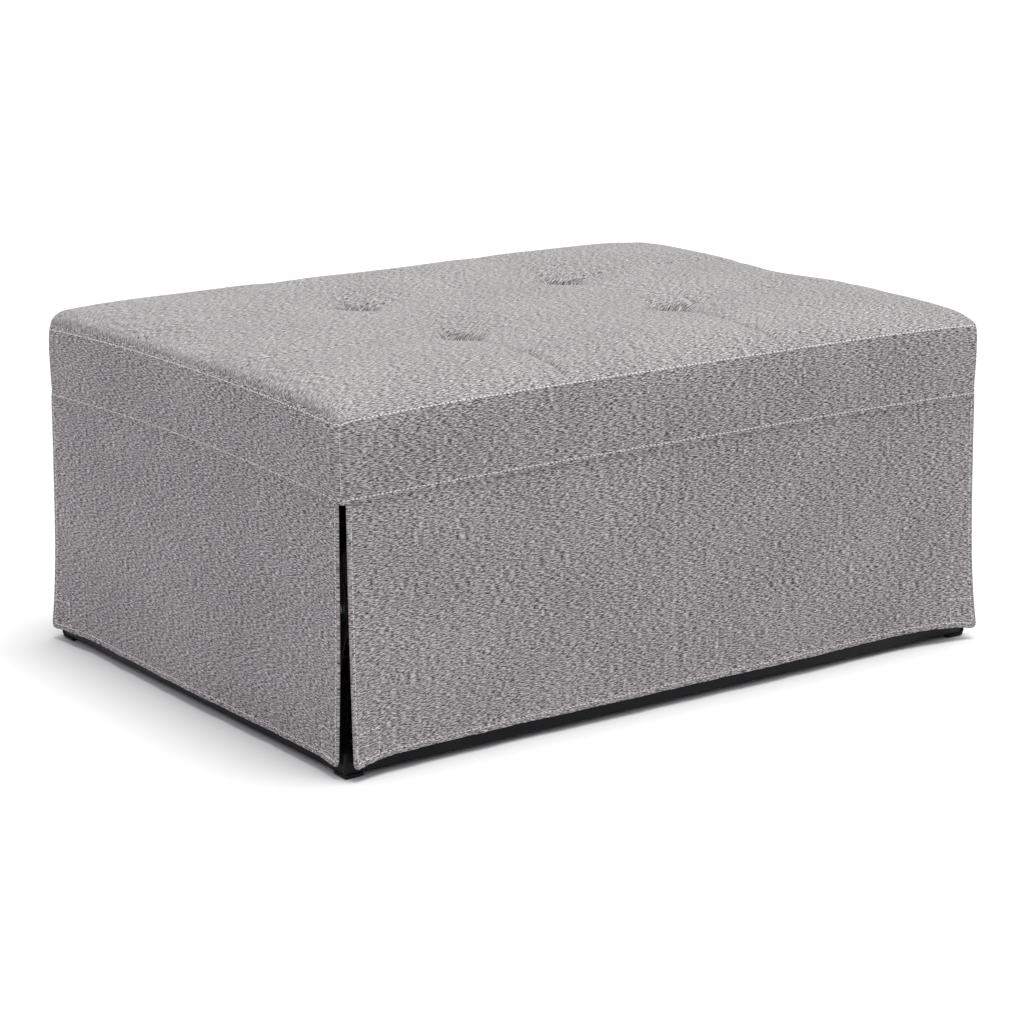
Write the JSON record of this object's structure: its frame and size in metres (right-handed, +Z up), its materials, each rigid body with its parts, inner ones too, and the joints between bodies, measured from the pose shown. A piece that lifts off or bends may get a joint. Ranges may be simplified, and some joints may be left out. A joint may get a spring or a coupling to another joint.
{
  "type": "fold out ottoman guest bed",
  "caption": "Guest bed that folds in three inside a crowned, tufted ottoman cover with a deep band and hanging skirt panels over a low square-tube ring.",
  "frame": {"origin": "on the floor, at the middle of the closed ottoman", "axes": "+X along the long side, +Y towards the back (the bed unfolds towards -Y), +Z up"},
  "size_m": [0.988, 0.709, 0.445],
  "materials": {
    "black_steel": "black powder coat, satin",
    "deck_steel": "black powder coat, satin",
    "fastener_steel": "zinc plated",
    "foot_plastic": "black moulded plastic",
    "leg_rubber": "black moulded rubber",
    "ticking": "charcoal woven ticking",
    "tape": "black woven tape",
    "foam": "open-cell foam",
    "cover_cloth": "heathered grey linen-look weave",
    "lining": "black non-woven lining",
    "thread": "light grey sewing thread"
  },
  "bodies": {
    "base_section": {"front_bottom_rail": "black_steel", "right_bottom_rail": "black_steel", "back_bottom_rail": "black_steel", "left_bottom_rail": "black_steel", "foot_pads": "foot_plastic", "base_uprights": "black_steel", "base_side_rails": "deck_steel", "base_end_rails": "deck_steel", "base_slats": "deck_steel", "base_hinge_ears": "deck_steel", "front_hinge_bolts": "fastener_steel", "base_mattress_core": "foam", "base_mattress_ticking": "ticking", "base_mattress_tapes": "tape"},
    "middle_section": {"middle_side_rails": "deck_steel", "middle_end_rails": "deck_steel", "middle_slats": "deck_steel", "middle_front_ears": "deck_steel", "middle_back_ears": "deck_steel", "back_hinge_bolts": "fastener_steel", "joint_leg_pins": "fastener_steel", "middle_mattress_core": "foam", "middle_mattress_ticking": "ticking", "middle_mattress_tapes": "tape"},
    "joint_leg": {"joint_leg_tubes": "deck_steel", "joint_leg_crossbar": "deck_steel", "joint_leg_feet": "leg_rubber"},
    "top_section": {"top_side_rails": "deck_steel", "top_end_rails": "deck_steel", "top_slats": "deck_steel", "top_hinge_ears": "deck_steel", "end_leg_pins": "fastener_steel", "top_mattress_core": "foam", "top_mattress_ticking": "ticking", "top_mattress_tapes": "tape"},
    "end_leg": {"end_leg_tubes": "deck_steel", "end_leg_crossbar": "deck_steel", "end_leg_feet": "leg_rubber"},
    "cover": {"cover_top_panel": "cover_cloth", "cover_pad": "foam", "cover_lining": "lining", "tuft_anchors": "foot_plastic", "tuft_twines": "thread", "front_band": "cover_cloth", "right_band": "cover_cloth", "back_band": "cover_cloth", "left_band": "cover_cloth"},
    "front_flap": {"front_skirt": "cover_cloth", "front_skirt_patches": "cover_cloth"},
    "right_flap": {"right_skirt": "cover_cloth", "right_skirt_patches": "cover_cloth"},
    "back_flap": {"back_skirt": "cover_cloth", "back_skirt_patches": "cover_cloth"},
    "left_flap": {"left_skirt": "cover_cloth", "left_skirt_patches": "cover_cloth"}
  },
  "joints": [
    {"name": "bed_unfold", "type": "hinge", "parent": "base_section", "child": "middle_section", "pos_m": [0, -0.325, 0.1975], "axis": [1, 0, 0], "range_deg": [0, 180]},
    {"name": "top_section_unfold", "type": "hinge", "parent": "middle_section", "child": "top_section", "pos_m": [0, 0.29, 0.2908], "axis": [1, 0, 0], "range_deg": [-180, 0]},
    {"name": "joint_leg_fold", "type": "hinge", "parent": "middle_section", "child": "joint_leg", "pos_m": [0, 0.2, 0.28], "axis": [1, 0, 0], "range_deg": [-90, 0]},
    {"name": "end_leg_fold", "type": "hinge", "parent": "top_section", "child": "end_leg", "pos_m": [0, -0.272, 0.3016], "axis": [1, 0, 0], "range_deg": [-90, 0]},
    {"name": "cover_lift", "type": "slide", "parent": "top_section", "child": "cover", "axis": [0, 0, 1], "range_m": [0, 1]},
    {"name": "front_skirt_flap", "type": "hinge", "parent": "cover", "child": "front_flap", "pos_m": [0, -0.346, 0.3217], "axis": [-1, 0, 0], "range_deg": [0, 80]},
    {"name": "right_skirt_flap", "type": "hinge", "parent": "cover", "child": "right_flap", "pos_m": [0.4855, 0, 0.3217], "axis": [0, -1, 0], "range_deg": [0, 80]},
    {"name": "back_skirt_flap", "type": "hinge", "parent": "cover", "child": "back_flap", "pos_m": [0, 0.346, 0.3217], "axis": [1, 0, 0], "range_deg": [0, 80]},
    {"name": "left_skirt_flap", "type": "hinge", "parent": "cover", "child": "left_flap", "pos_m": [-0.4855, 0, 0.3217], "axis": [0, 1, 0], "range_deg": [0, 80]}
  ],
  "couplings": [
    {"joint": "top_section_unfold", "follows": "bed_unfold", "ratio": -1},
    {"joint": "joint_leg_fold", "follows": "bed_unfold", "ratio": -0.5},
    {"joint": "end_leg_fold", "follows": "bed_unfold", "ratio": -0.5},
    {"joint": "cover_lift", "follows": "bed_unfold", "m_per_rad": 0.318}
  ]
}
